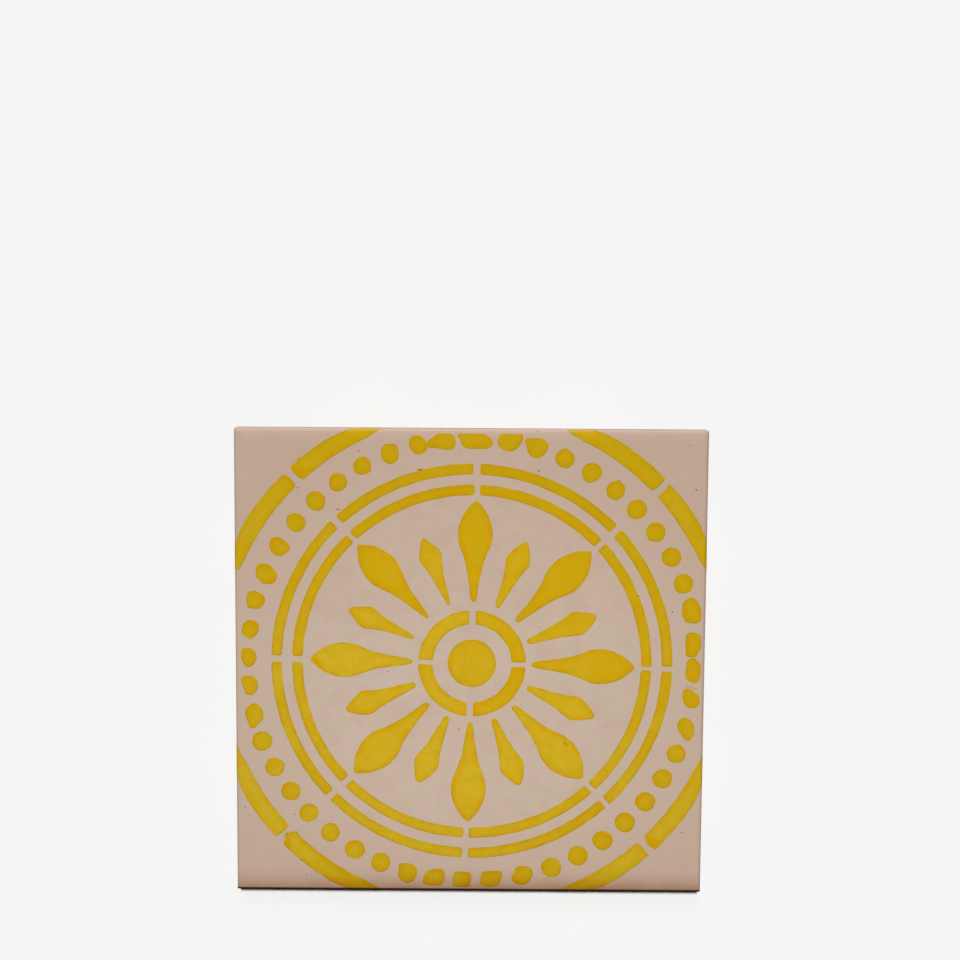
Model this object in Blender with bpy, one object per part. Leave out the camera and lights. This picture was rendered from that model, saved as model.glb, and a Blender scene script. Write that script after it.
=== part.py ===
"""A square glazed ceramic wall tile, lying on its back with the glazed face up.

The origin is the middle of the back: X and Y run along the edges, Z points out of the glazed face.
"""
import math

import bmesh
import bpy

# Driving dimensions, in metres
SIDE = 0.150                 # edge to edge, the same both ways
THICKNESS = 0.008            # from the lands of the back to the flat of the glazed face
CORNER_RADIUS = 0.0008       # upright corners, seen square on
CORNER_SOFTENING = 0.6       # how fast that radius grows, for each metre drawn in from the edge
BACK_CHAMFER = 0.0004        # worn lower arris
ARRIS_RADIUS = 0.0007        # upper arris, between side and glazed face
RIM_WIDTH = 0.0040           # band along the edges where the glaze rolls off
RIM_DROP = 0.00045           # how far the face has dropped at the outer side of that band

KEY_COUNT = 10               # keying grooves pressed into the back
KEY_PITCH = 0.0132           # from one groove to the next
KEY_MOUTH = 0.0066           # width of a groove where it opens
KEY_DEPTH = 0.0006
KEY_DRAFT = 0.0005           # how far each wall of a groove leans in over its depth
KEY_LENGTH = 0.130           # the grooves stop short of the edges
CUTTER_OVERSHOOT = 0.001     # how far the cutter stands out below the back

# Smoothness of the curved parts
CORNER_STEPS = 6
ARRIS_STEPS = 6
RIM_STEPS = 8

GLAZE_COLOUR = (0.552, 0.418, 0.328, 1.0)
GLAZE_ROUGHNESS = 0.32


def clear_scene():
    for thing in list(bpy.data.objects):
        bpy.data.objects.remove(thing, do_unlink=True)


def glaze_material():
    material = bpy.data.materials.new("tile_glaze")
    material.use_nodes = True
    shader = material.node_tree.nodes["Principled BSDF"]
    shader.inputs["Base Color"].default_value = GLAZE_COLOUR
    shader.inputs["Roughness"].default_value = GLAZE_ROUGHNESS
    shader.inputs["Metallic"].default_value = 0.0
    return material


def face_height(inset):
    """Height of the glazed face at a distance in from the edge."""
    short_of_flat = max(0.0, 1.0 - inset / RIM_WIDTH)
    return THICKNESS - RIM_DROP * short_of_flat ** 2


def edge_profile():
    """Section through the edge from the back to the flat of the face, as (inset, height)."""
    points = [(BACK_CHAMFER, 0.0), (0.0, BACK_CHAMFER)]
    lean = math.atan(2 * RIM_DROP / RIM_WIDTH * (1 - ARRIS_RADIUS / RIM_WIDTH))
    arris_inset = ARRIS_RADIUS * (1 - math.sin(lean))
    arris_centre = face_height(arris_inset) - ARRIS_RADIUS * math.cos(lean)
    for step in range(ARRIS_STEPS + 1):
        turn = step / ARRIS_STEPS * (math.pi / 2 - lean)
        points.append((ARRIS_RADIUS * (1 - math.cos(turn)), arris_centre + ARRIS_RADIUS * math.sin(turn)))
    for step in range(1, RIM_STEPS + 1):
        inset = arris_inset + step / RIM_STEPS * (RIM_WIDTH - arris_inset)
        points.append((inset, face_height(inset)))
    return points


def outline(inset, height):
    """A level outline of the tile, a square with round corners, drawn in from its sides by inset."""
    radius = CORNER_RADIUS + CORNER_SOFTENING * inset
    reach = SIDE / 2 - inset - radius
    points = []
    for along_x, along_y in ((1, 1), (-1, 1), (-1, -1), (1, -1)):
        start = math.atan2(along_y, along_x) - math.pi / 4
        for step in range(CORNER_STEPS + 1):
            angle = start + step / CORNER_STEPS * math.pi / 2
            points.append((along_x * reach + radius * math.cos(angle),
                           along_y * reach + radius * math.sin(angle), height))
    return points


def tile_mesh():
    """The closed body, as outlines stacked from the back to the face, without the grooves."""
    bm = bmesh.new()
    rings = [[bm.verts.new(point) for point in outline(inset, height)] for inset, height in edge_profile()]
    for lower, upper in zip(rings, rings[1:]):
        for near in range(len(lower)):
            far = (near + 1) % len(lower)
            bm.faces.new((lower[near], lower[far], upper[far], upper[near]))
    bm.faces.new(reversed(rings[0]))
    bm.faces.new(rings[-1])
    mesh = bpy.data.meshes.new("tile")
    bm.to_mesh(mesh)
    bm.free()
    return mesh


def key_cutter():
    """One bar for each keying groove, wider at the back than at the groove's floor."""
    bm = bmesh.new()
    floor_half = (KEY_LENGTH / 2 - KEY_DRAFT, KEY_MOUTH / 2 - KEY_DRAFT)
    below = KEY_DRAFT * CUTTER_OVERSHOOT / KEY_DEPTH
    foot_half = (KEY_LENGTH / 2 + below, KEY_MOUTH / 2 + below)
    for number in range(KEY_COUNT):
        offset = (number - (KEY_COUNT - 1) / 2) * KEY_PITCH
        bar = bmesh.ops.create_cube(bm, size=2.0)["verts"]
        for vert in bar:
            at_floor = vert.co.z > 0
            half_x, half_y = floor_half if at_floor else foot_half
            height = KEY_DEPTH if at_floor else -CUTTER_OVERSHOOT
            vert.co = (vert.co.x * half_x, offset + vert.co.y * half_y, height)
    mesh = bpy.data.meshes.new("key_cutter")
    bm.to_mesh(mesh)
    bm.free()
    cutter = bpy.data.objects.new("key_cutter", mesh)
    cutter.hide_render = True
    cutter.display_type = 'WIRE'
    bpy.context.scene.collection.objects.link(cutter)
    return cutter


def build():
    clear_scene()
    mesh = tile_mesh()
    mesh.materials.append(glaze_material())
    mesh.shade_smooth()
    mesh.set_sharp_from_angle(angle=math.radians(30))
    tile = bpy.data.objects.new("tile", mesh)
    bpy.context.scene.collection.objects.link(tile)
    grooves = tile.modifiers.new("keying_grooves", 'BOOLEAN')
    grooves.operation = 'DIFFERENCE'
    grooves.solver = 'EXACT'
    grooves.object = key_cutter()


build()
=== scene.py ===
"""The looks of a square glazed wall tile with a stencilled rosette, lying on its back.

Shapes are worked out in millimetres in the tile's own frame and become metres when a mesh is made.
"""

import math

import bpy
import numpy as np
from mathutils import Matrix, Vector, noise
from mathutils.geometry import delaunay_2d_cdt


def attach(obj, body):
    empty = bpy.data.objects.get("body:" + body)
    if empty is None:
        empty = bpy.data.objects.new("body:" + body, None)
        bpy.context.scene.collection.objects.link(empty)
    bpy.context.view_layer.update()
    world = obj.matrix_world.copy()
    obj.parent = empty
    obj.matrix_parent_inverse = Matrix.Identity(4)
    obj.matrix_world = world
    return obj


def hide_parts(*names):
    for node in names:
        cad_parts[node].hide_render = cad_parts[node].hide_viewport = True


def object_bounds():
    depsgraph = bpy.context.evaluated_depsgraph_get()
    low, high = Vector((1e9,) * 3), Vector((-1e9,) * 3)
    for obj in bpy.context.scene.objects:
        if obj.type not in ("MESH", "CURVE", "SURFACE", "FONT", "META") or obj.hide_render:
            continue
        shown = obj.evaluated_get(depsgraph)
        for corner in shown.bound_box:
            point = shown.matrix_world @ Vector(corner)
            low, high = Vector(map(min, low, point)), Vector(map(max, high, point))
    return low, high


MM = 0.001

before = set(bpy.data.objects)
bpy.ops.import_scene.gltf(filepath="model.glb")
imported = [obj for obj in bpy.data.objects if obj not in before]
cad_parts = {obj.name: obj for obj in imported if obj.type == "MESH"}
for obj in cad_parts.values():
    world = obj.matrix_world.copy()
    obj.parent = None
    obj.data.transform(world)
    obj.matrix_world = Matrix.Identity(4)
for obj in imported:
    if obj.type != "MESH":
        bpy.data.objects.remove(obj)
cad_low, cad_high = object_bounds()

# The glazed surface, kept far enough inside the solid for the stencil to stand up on it
PATTERN_ROOM = 0.10
SIDE_ROOM = 0.06
HALF = (cad_high.x - cad_low.x) / 2 / MM - SIDE_ROOM
FACE = cad_high.z / MM - PATTERN_ROOM
CORNER_RADIUS = 0.3
CORNER_SOFTENING = 0.3
ARRIS_RADIUS = 0.7
RIM_WIDTH = 4.0
RIM_DROP = 0.45
WAVE_HEIGHT = 0.012
WAVE_LENGTH = 22.0
COAT_THICKNESS = 0.32       # of the glaze, drawn thick so that its lip shows
LIP_HEIGHT = 3.9            # where the glaze ends on the sides, above the back
LIP_WAVE = 0.8
LIP_REACH = 0.5             # how far up from its lip the glaze takes to come to its full thickness
BISCUIT_INSET = 0.10        # the clay's sides stand back this far behind the glaze
COAT_INSET = BISCUIT_INSET + 0.02   # of the glaze's inner side, hidden in the clay
ARRIS_STEPS = 9             # rings of points round the arris
RIM_STEPS = 12              # and from there to the flat of the face
FACE_GRID = 1.9             # from point to point on the flat
FACE_MARGIN = 1.5           # from the last ring to the nearest of those points

# The back
BACK_CHAMFER = 0.4
KEY_COUNT = 10
KEY_PITCH = 13.2
KEY_MOUTH = 6.6
KEY_DEPTH = 0.6
KEY_DRAFT = 0.5
KEY_LENGTH = 130.0
KEY_CORNER = 1.4            # radius of a groove's corners, seen from below

# The stencil, about its own middle
PATTERN_CENTRE = (0.54, 0.16)
PATTERN_TURN = math.radians(-1.2)
DISC_RADIUS = 7.8
DISC_OFFSET = (0.01, -0.03)
INNER_RING = (12.51, 17.31)
INNER_OFFSET = (0.06, -0.10)
DOUBLE_RING = ((53.9, 57.45), (60.55, 64.1))
DOT_COUNT = 48
DOT_CIRCLE = 72.0
DOT_RADIUS = 3.12
OUTER_RING = (79.3, 85.2)
OUTER_SWEEP = math.radians(26)
OUTER_TRIM = 2.0            # an outer arc stops this far short of its ends' lines, before its tip
STENCIL_REACH = 73.75       # the dots flatten here, where the face starts to fall away
OVERRUN = 2.5               # how far the brush ran over the arris and down the sides

# Bridges of the stencil's rings, from the right anticlockwise, as how far the arc before each one and the
# arc after it stop short of the bridge's own line
INNER_BRIDGES = ((0.69, 0.65), (0.69, 1.21), (0.61, 0.59), (1.22, 0.65))
DOUBLE_BRIDGES = (
    ((0.81, 0.3), (1.06, 0.52), (1.11, 0.49), (0.97, 0.22), (0.67, 1.06), (0.5, 1.11), (1.14, 0.44),
     (1.11, 0.24)),
    ((0.85, 0.57), (1.31, 0.5), (1.0, 1.07), (1.28, 0.76), (0.66, 1.13), (0.72, 1.0), (1.34, 0.28),
     (1.09, 0.35)),
)

# How thickly the arcs were brushed, below zero where the yellow pooled and above it where it stayed pale
INNER_TONES = (-0.1, 1.4, 0.2, -1.7)
DOUBLE_TONES = ((0.4, -0.4, -0.8, -0.5, 0.0, 0.7, 0.0, 0.3),
                (0.8, -0.5, -0.6, -0.2, 0.1, 0.8, -0.7, 0.4))
OUTER_TONES = (0.1, -0.2, 0.2, 1.5, -1.1, 0.7, 0.4, 0.4)

# Petals as (distance from the middle, half width)
LARGE_PETAL = ((19.4, 0.55), (21.0, 1.0), (25.0, 1.6), (30.0, 2.45), (34.0, 3.6), (38.0, 5.12),
               (41.0, 5.6), (44.0, 5.25), (48.0, 3.68), (50.6, 1.7), (52.1, 0.2))
SMALL_PETAL = ((19.5, 0.6), (21.0, 1.0), (25.0, 1.55), (30.0, 2.32), (33.0, 3.05), (35.6, 3.85),
               (37.0, 3.75), (39.0, 2.9), (41.0, 1.8), (42.5, 0.8), (42.9, 0.3))

# How far each petal slid along its own axis and spread past the stencil, and how thickly it was brushed,
# anticlockwise from the right
LARGE_SLIPS = ((-0.2, 0.19, -0.6), (0.1, 0.11, -0.4), (0.3, 0.03, -0.3), (0.6, -0.09, -1.1),
               (-0.5, 0.12, 1.0), (-0.2, 0.22, -0.2), (-0.1, 0.10, -0.5), (-0.3, 0.14, 0.2))
SMALL_SLIPS = ((-0.4, 0.19, 0.5), (-0.1, 0.06, 0.2), (0.4, -0.18, 0.4), (0.2, -0.16, 0.3),
               (-0.1, 0.25, 0.2), (-0.4, 0.20, 0.7), (-0.1, 0.14, 0.3), (-0.1, 0.20, 0.6))

# The dots' usual tone, how far it strays, and how much paler or, below zero, deeper some of them are, by
# number round the circle
DOT_TONE = -1.6
DOT_STRAY = 0.6
DOT_SHADES = {
    1: 0.8, 17: 0.5, 20: 0.6, 24: 0.8, 25: -0.8, 26: -0.5, 28: 0.6, 29: 1.3, 31: 1.0, 33: -0.6, 39: -0.9,
    40: -0.8, 41: -0.5, 42: -0.5, 43: 0.8, 44: 0.9, 45: 0.7, 46: 0.7, 47: 0.5,
}

# How far some dots slid along X and Y and spread
DOT_SLIPS = {
    2: (-0.07, 0.0, -0.08), 4: (0.0, 0.0, -0.06), 5: (0.0, -0.05, -0.05), 6: (0.0, -0.05, 0.03),
    7: (0.2, -0.4, -0.16), 8: (0.15, -0.16, -0.04), 9: (0.0, 0.0, -0.12), 10: (-0.1, 0.0, 0.05),
    11: (0.15, 0.25, 0.16), 12: (0.0, 0.0, 0.06), 13: (0.1, -0.12, 0.0), 15: (0.12, -0.25, -0.06),
    16: (-0.2, 0.0, -0.25), 17: (0.05, -0.19, -0.3), 18: (0.05, -0.1, 0.15), 19: (0.07, 0.08, 0.18),
    20: (0.2, -0.17, 0.17), 21: (0.25, -0.12, 0.1), 22: (0.18, -0.1, -0.04), 23: (0.14, -0.1, -0.05),
    24: (0.17, -0.05, 0.0), 25: (0.2, 0.03, 0.0), 26: (0.15, 0.05, -0.1), 27: (-0.03, 0.35, 0.05),
    28: (0.0, 0.38, -0.1), 29: (0.05, 0.35, -0.08), 30: (-0.2, 0.5, -0.1), 31: (-0.3, 0.4, -0.1),
    32: (-0.03, 0.15, 0.02), 33: (-0.13, 0.25, 0.0), 34: (0.2, 0.0, -0.05), 35: (0.5, 0.0, 0.1),
    36: (0.3, -0.2, 0.13), 37: (0.0, 0.0, 0.07), 38: (0.0, 0.0, -0.08), 39: (-0.06, 0.0, 0.08),
    40: (-0.05, 0.05, 0.08), 41: (-0.04, 0.15, 0.06), 42: (-0.18, 0.05, 0.1), 43: (-0.05, 0.0, -0.03),
    44: (-0.13, -0.1, 0.0), 45: (-0.1, -0.17, -0.13), 46: (-0.11, 0.1, -0.07), 47: (-0.04, 0.28, 0.08),
}

# Where the outer arcs end at the bridges of the corners, by number from the upper right, anticlockwise
ARC_ENDS = {
    0: ((57.4, 56.0), (59.7, 57.4), (61.4, 59.7)),
    1: ((-57.3, 62.6), (-56.2, 61.0), (-54.5, 59.3), (-53.3, 58.9)),
    2: ((-55.4, 57.2), (-57.0, 59.2), (-59.0, 60.5)),
    3: ((-61.7, -57.0), (-59.7, -55.5), (-58.1, -54.0)),
    4: ((-54.9, -56.1), (-55.3, -55.4), (-56.1, -55.1), (-57.0, -55.6), (-58.6, -55.9), (-59.5, -56.4),
        (-59.7, -57.3), (-59.2, -58.0), (-60.0, -58.9), (-60.1, -59.6)),
    5: ((58.3, -62.4), (56.8, -60.9), (55.6, -59.5), (54.6, -58.8)),
    6: ((56.5, -56.3), (57.0, -58.3), (58.4, -60.1), (60.3, -60.6)),
    7: ((62.4, 58.1), (61.9, 57.1), (61.0, 55.8), (59.8, 55.0), (58.9, 54.5)),
}

# Dots that the brush left misshapen, by number round the circle, as points of the face
ODD_DOTS = {
    0: ((69.4, 1.1), (70.6, 2.0), (71.9, 1.8), (73.4, -0.1), (73.6, -3.2), (72.9, -4.9), (72.0, -5.7),
        (71.1, -5.5), (69.8, -4.8), (69.0, -3.8), (69.2, -2.4)),
    1: ((69.1, 2.9), (71.9, 2.9), (72.6, 4.2), (73.4, 5.6), (73.6, 7.6), (73.2, 9.3), (72.0, 10.1),
        (70.4, 10.4), (69.2, 10.1), (68.9, 8.6), (69.0, 5.7)),
    2: ((67.5, 16.4), (68.6, 14.2), (69.6, 13.8), (71.8, 13.7), (73.0, 14.1), (73.5, 15.4), (73.4, 17.8),
        (72.6, 19.8), (71.6, 21.1), (70.5, 21.7), (69.3, 21.4), (67.9, 20.1)),
    10: ((17.2, 72.0), (17.7, 69.8), (18.3, 68.0), (19.4, 66.7), (20.9, 66.3), (22.3, 66.8), (23.4, 68.1),
         (24.3, 70.1), (22.6, 72.0), (20.0, 72.0)),
    11: ((8.4, 71.2), (8.9, 69.8), (9.9, 68.8), (11.5, 68.3), (13.1, 68.5), (14.6, 69.7), (15.7, 71.6),
         (15.7, 73.2), (14.3, 74.1), (11.6, 74.2), (9.8, 73.5)),
    12: ((-2.9, 70.6), (-2.0, 69.6), (-0.5, 69.2), (2.6, 69.2), (5.0, 69.2), (6.7, 70.6), (5.9, 72.1),
         (3.8, 73.3), (2.1, 74.2), (0.2, 74.2), (-1.3, 73.7), (-4.1, 73.5), (-4.0, 72.7), (-3.0, 72.1)),
    13: ((-13.7, 71.4), (-13.9, 69.6), (-11.0, 69.5), (-8.6, 68.9), (-6.0, 69.0), (-5.2, 70.4),
         (-5.5, 72.4), (-7.0, 73.9), (-8.8, 74.2), (-10.4, 73.7), (-12.2, 72.1)),
    14: ((-19.5, 70.4), (-19.2, 71.9), (-18.3, 72.8), (-16.2, 72.8), (-15.0, 71.7), (-13.9, 69.8),
         (-14.5, 68.2), (-16.0, 67.3), (-17.6, 67.4), (-19.0, 68.7)),
    15: ((-28.4, 67.5), (-28.1, 69.4), (-27.2, 70.3), (-24.2, 70.4), (-23.4, 69.2), (-23.1, 67.0),
         (-23.6, 65.3), (-25.2, 64.3), (-26.8, 64.6), (-28.1, 65.9)),
    18: ((-49.6, 54.8), (-48.4, 54.7), (-46.9, 53.7), (-46.5, 52.6), (-46.6, 51.4), (-47.0, 50.4),
        (-47.8, 49.4), (-49.3, 49.5), (-50.7, 50.1), (-51.6, 51.2), (-51.8, 52.3), (-51.5, 53.7),
        (-50.6, 54.7)),
    19: ((-58.1, 45.3), (-57.8, 46.8), (-56.4, 47.6), (-55.2, 47.6), (-53.8, 46.8), (-52.9, 46.0),
        (-52.8, 45.0), (-53.0, 43.9), (-53.7, 43.1), (-54.9, 42.4), (-56.2, 42.6), (-57.1, 43.2),
        (-57.9, 44.2)),
    20: ((-63.7, 38.1), (-63.4, 39.5), (-62.3, 40.2), (-61.3, 40.2), (-60.1, 39.5), (-58.9, 38.6),
        (-58.0, 37.8), (-57.9, 37.1), (-58.4, 36.2), (-59.4, 35.5), (-60.8, 34.9), (-62.2, 35.2),
        (-63.1, 36.2), (-63.6, 37.1)),
    21: ((-67.6, 31.5), (-66.4, 31.8), (-64.1, 31.2), (-63.4, 30.3), (-62.2, 29.1), (-62.0, 28.1),
        (-62.4, 26.7), (-63.4, 25.9), (-65.0, 25.7), (-66.8, 26.2), (-66.8, 27.0), (-68.1, 27.8),
        (-68.1, 29.2), (-67.8, 30.8)),
    22: ((-70.9, 22.7), (-71.3, 20.2), (-70.9, 17.9), (-67.8, 17.5), (-66.3, 18.8), (-65.6, 20.4),
         (-66.3, 21.8), (-68.6, 23.0)),
    23: ((-72.5, 12.0), (-72.8, 9.7), (-71.5, 8.3), (-70.4, 7.7), (-69.1, 8.5), (-67.8, 10.0),
         (-67.8, 12.6), (-69.2, 13.5), (-71.2, 13.5)),
    24: ((-72.8, 4.3), (-73.1, 1.8), (-72.4, -0.4), (-71.6, -1.3), (-70.4, -1.2), (-69.1, -0.1),
         (-68.5, 1.8), (-69.3, 3.6), (-71.0, 4.6)),
    25: ((-72.9, -5.0), (-73.1, -6.3), (-72.4, -8.4), (-71.8, -10.3), (-70.3, -10.5), (-68.8, -9.6),
         (-68.1, -7.8), (-68.6, -5.8), (-70.0, -4.7), (-71.8, -4.7)),
    26: ((-72.0, -16.5), (-71.5, -18.4), (-70.9, -20.0), (-70.4, -21.5), (-69.2, -21.4), (-68.2, -20.0),
         (-66.7, -19.0), (-66.4, -16.8), (-67.2, -14.8), (-68.7, -13.6), (-70.0, -13.7), (-71.4, -14.8)),
    34: ((-22.6, -66.0), (-22.7, -68.2), (-22.9, -69.8), (-22.0, -71.4), (-20.0, -72.3), (-18.4, -71.7),
         (-17.1, -69.7), (-17.1, -67.7), (-18.4, -66.2), (-20.4, -66.0)),
    35: ((-14.2, -68.7), (-14.8, -70.6), (-15.1, -72.0), (-13.8, -72.8), (-9.5, -72.9), (-8.9, -71.2),
         (-8.7, -68.7), (-9.7, -67.9), (-11.7, -68.0)),
    36: ((-4.6, -68.7), (-5.2, -70.8), (-5.3, -72.9), (-2.5, -73.2), (-0.3, -73.0), (-0.2, -71.0),
         (0.1, -69.0), (-1.2, -68.7)),
    37: ((4.6, -68.7), (4.5, -69.9), (3.6, -71.4), (4.2, -72.7), (6.4, -73.4), (8.5, -73.2), (9.8, -72.2),
         (10.2, -70.2), (10.5, -68.7), (7.5, -68.5)),
    38: ((15.2, -67.2), (14.9, -68.7), (13.9, -70.0), (14.3, -71.5), (15.9, -72.5), (18.4, -72.5),
         (19.5, -71.4), (20.5, -69.4), (20.2, -67.5), (18.6, -66.6), (16.6, -66.7)),
    46: ((67.4, -18.1), (68.6, -17.4), (70.4, -17.9), (71.6, -19.6), (72.0, -22.0), (71.2, -24.0),
         (69.9, -24.8), (68.7, -23.7), (67.3, -21.6), (66.7, -19.8)),
    47: ((68.5, -8.5), (69.9, -8.4), (71.6, -9.4), (73.1, -10.4), (73.2, -13.0), (72.2, -14.0),
         (70.4, -14.0), (69.1, -13.0), (68.4, -11.2)),
}

# Crumbs and smears of yellow and dark flecks as (x, y, length, width, turn in degrees, thinness)
CRUMBS = (
    (71.2, 2.4, 1.4, 0.6, 90, 0.1),
    (70.8, -7.4, 4.6, 1.8, -12, 0.75),
    (-7.7, -70.7, 3.4, 1.4, 92, 0.55),
    (0.6, -70.8, 3.2, 1.5, 80, 0.5),
    (4.0, -68.7, 2.2, 0.9, 20, 0.7),
    (-3.4, 68.7, 1.6, 1.0, 70, 0.5),
    (-5.3, 67.0, 1.8, 0.8, 5, 0.6),
    (-16.2, 62.2, 2.1, 0.55, 3, -0.5),
    (46.3, 58.8, 1.8, 1.1, 30, 0.0),
    (-54.2, 65.3, 2.2, 1.4, 35, 0.0),
    (-55.8, 57.2, 1.1, 0.8, -20, 0.0),
    (-59.8, -57.3, 1.5, 0.5, 70, 0.7),
    (57.7, -62.6, 1.7, 0.6, 12, 0.0),
    (60.2, -60.5, 1.1, 0.7, -50, 0.0),
    (62.3, 57.4, 1.1, 0.9, -70, 0.0),
    (-16.0, -73.7, 1.6, 0.5, 0, 0.6),
    (43.9, 43.6, 1.7, 1.0, 55, 0.0),
    (41.6, -45.7, 1.4, 0.9, 40, 0.0),
    (-74.0, 33.2, 2.4, 0.5, 80, 0.8),
    (-58.8, -56.3, 1.0, 0.5, 30, -0.8),
    (57.4, -62.7, 1.2, 0.35, 25, -0.5),
    (53.6, -59.5, 0.7, 0.3, 40, -0.4),
    (52.4, -60.8, 0.8, 0.35, 45, -0.4),
    (51.4, -61.6, 0.7, 0.35, 45, -0.4),
    (70.6, 46.4, 0.9, 0.3, -60, -0.6),
    (-56.6, 62.4, 0.5, 0.35, 0, -0.5),
    (-51.9, 66.7, 0.8, 0.3, 35, -0.5),
    (57.3, 63.1, 0.8, 0.35, -45, -0.6),
    (58.1, 62.2, 0.7, 0.35, -45, -0.6),
    (55.2, 58.7, 1.3, 0.35, -50, -0.6),
    (-51.4, 61.5, 0.9, 0.35, 40, -0.6),
    (-47.8, 64.4, 0.9, 0.35, 40, -0.6),
    (-42.0, 49.4, 2.0, 0.28, -5, -0.6),
    (30.7, -26.0, 2.6, 0.4, -50, -0.55),
)

# Where the yellow ran together and fired amber, as points of the face
AMBER_PATCHES = (
    ((-56.6, 62.4), (-55.8, 61.1), (-54.2, 59.6), (-53.0, 59.2), (-51.5, 60.4), (-51.6, 62.2),
     (-53.0, 63.8), (-55.0, 64.1)),
    ((56.8, -56.6), (57.5, -55.6), (58.7, -56.1), (60.2, -56.9), (62.0, -57.4), (61.9, -58.5),
     (60.9, -59.9), (60.2, -60.3), (58.6, -59.8), (57.3, -58.2)),
    ((-59.8, -59.7), (-59.6, -58.7), (-59.0, -57.8), (-57.6, -57.4), (-57.2, -58.6), (-57.8, -60.2),
     (-59.0, -60.6)),
    ((-50.6, 1.1), (-49.8, 2.0), (-48.7, 2.2), (-47.7, 0.8), (-46.6, -0.9), (-45.6, -2.5), (-46.6, -2.8),
     (-48.4, -1.8), (-49.9, -0.3)),
    ((-6.6, 2.2), (-6.8, 0.0), (-6.2, -2.6), (-4.9, -4.9), (-4.4, -4.1), (-5.2, -2.2), (-5.4, 0.0),
     (-5.2, 2.4), (-5.7, 3.6)),
)

# Iron specks in the glaze as (x, y, width)
SPECKS = (
    (-35.6, 68.1, 0.62), (21.3, 62.0, 0.65), (20.9, 74.5, 0.5), (69.0, 70.5, 0.45), (71.1, 56.3, 0.65),
    (-54.8, 56.2, 0.6), (64.3, 17.3, 0.6), (53.3, 22.2, 0.7), (59.0, 8.2, 0.36), (9.5, 30.0, 0.36),
    (-50.0, 30.2, 0.36), (-3.4, -21.4, 0.5), (-42.8, -41.4, 0.4), (-56.2, -49.8, 0.5), (-72.2, -47.6, 0.5),
    (-70.8, -50.2, 0.4), (-64.8, -62.7, 0.32), (-52.5, -70.0, 0.45), (-54.1, -64.9, 0.65),
    (25.0, -41.8, 0.4), (43.5, -20.3, 0.45), (68.6, -55.0, 0.6), (43.5, -73.4, 0.5), (25.0, -70.6, 0.45),
    (23.0, -21.8, 0.36), (-34.2, -35.1, 0.36), (-44.5, 14.7, 0.34), (17.5, -49.5, 0.3), (0.4, 0.5, 0.5),
    (-23.4, 65.9, 0.5), (-59.5, 53.3, 0.36), (-50.2, 62.3, 0.4), (-26.3, -2.8, 0.5), (10.2, 3.0, 0.3),
    (11.8, -3.8, 0.3), (7.5, -10.1, 0.35), (17.8, -16.7, 0.3), (3.3, 6.8, 0.35),
)


def mix(a, b, t):
    return a + (b - a) * t


def wobble(x, y, length, seed):
    """Smooth noise from -1 to 1 over the face, with bumps about length millimetres wide."""
    return noise.noise(Vector((x / length, y / length, seed)))


def turned(x, y, angle):
    return (x * math.cos(angle) - y * math.sin(angle), x * math.sin(angle) + y * math.cos(angle))


# The surface of the glaze

def rim_height(inset):
    return FACE - RIM_DROP * max(0.0, 1 - inset / RIM_WIDTH) ** 2


def wave(x, y, inset):
    """The slight unevenness of a hand glazed face, gone at the edges."""
    return WAVE_HEIGHT * min(1.0, inset / RIM_WIDTH) * (wobble(x, y, WAVE_LENGTH, 3.1) - 0.6)


ARRIS_LEAN = math.atan(2 * RIM_DROP / RIM_WIDTH * (1 - ARRIS_RADIUS / RIM_WIDTH))
ARRIS_INSET = ARRIS_RADIUS * (1 - math.sin(ARRIS_LEAN))
ARRIS_CENTRE = rim_height(ARRIS_INSET) - ARRIS_RADIUS * math.cos(ARRIS_LEAN)
ARRIS_LENGTH = ARRIS_RADIUS * (math.pi / 2 - ARRIS_LEAN)
ARRIS_START = HALF - ARRIS_INSET
SHOULDER = ARRIS_CENTRE - 0.2       # where the clay starts to lean in under the arris


def section(run):
    """The glaze's inset, height and lean at a distance along it, out from where the arris starts."""
    if run <= 0:
        inset = ARRIS_INSET - run
        return inset, rim_height(inset), ARRIS_LEAN * max(0.0, 1 + run / RIM_WIDTH)
    if run < ARRIS_LENGTH:
        lean = ARRIS_LEAN + run / ARRIS_RADIUS
        return ARRIS_RADIUS * (1 - math.sin(lean)), ARRIS_CENTRE + ARRIS_RADIUS * math.cos(lean), lean
    return 0.0, ARRIS_CENTRE - (run - ARRIS_LENGTH), math.pi / 2


def fold(x, y, lift=0.0):
    """The point that (x, y) of the spread out face comes to, folded down past the face's edges."""
    inset, height, lean = section(max(abs(x), abs(y)) - ARRIS_START)
    reach = HALF - inset + lift * math.sin(lean)
    height += wave(x, y, inset) + lift * math.cos(lean)
    if abs(x) > abs(y):
        return math.copysign(reach, x), y, height
    return x, math.copysign(reach, y), height


SHARP_ANGLE = math.radians(50)
MAP_MARGIN = 0.01           # round each piece's map
PATCH_TONES = (-3.0, -4.0)  # of an amber patch, at its outline and within


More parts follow.
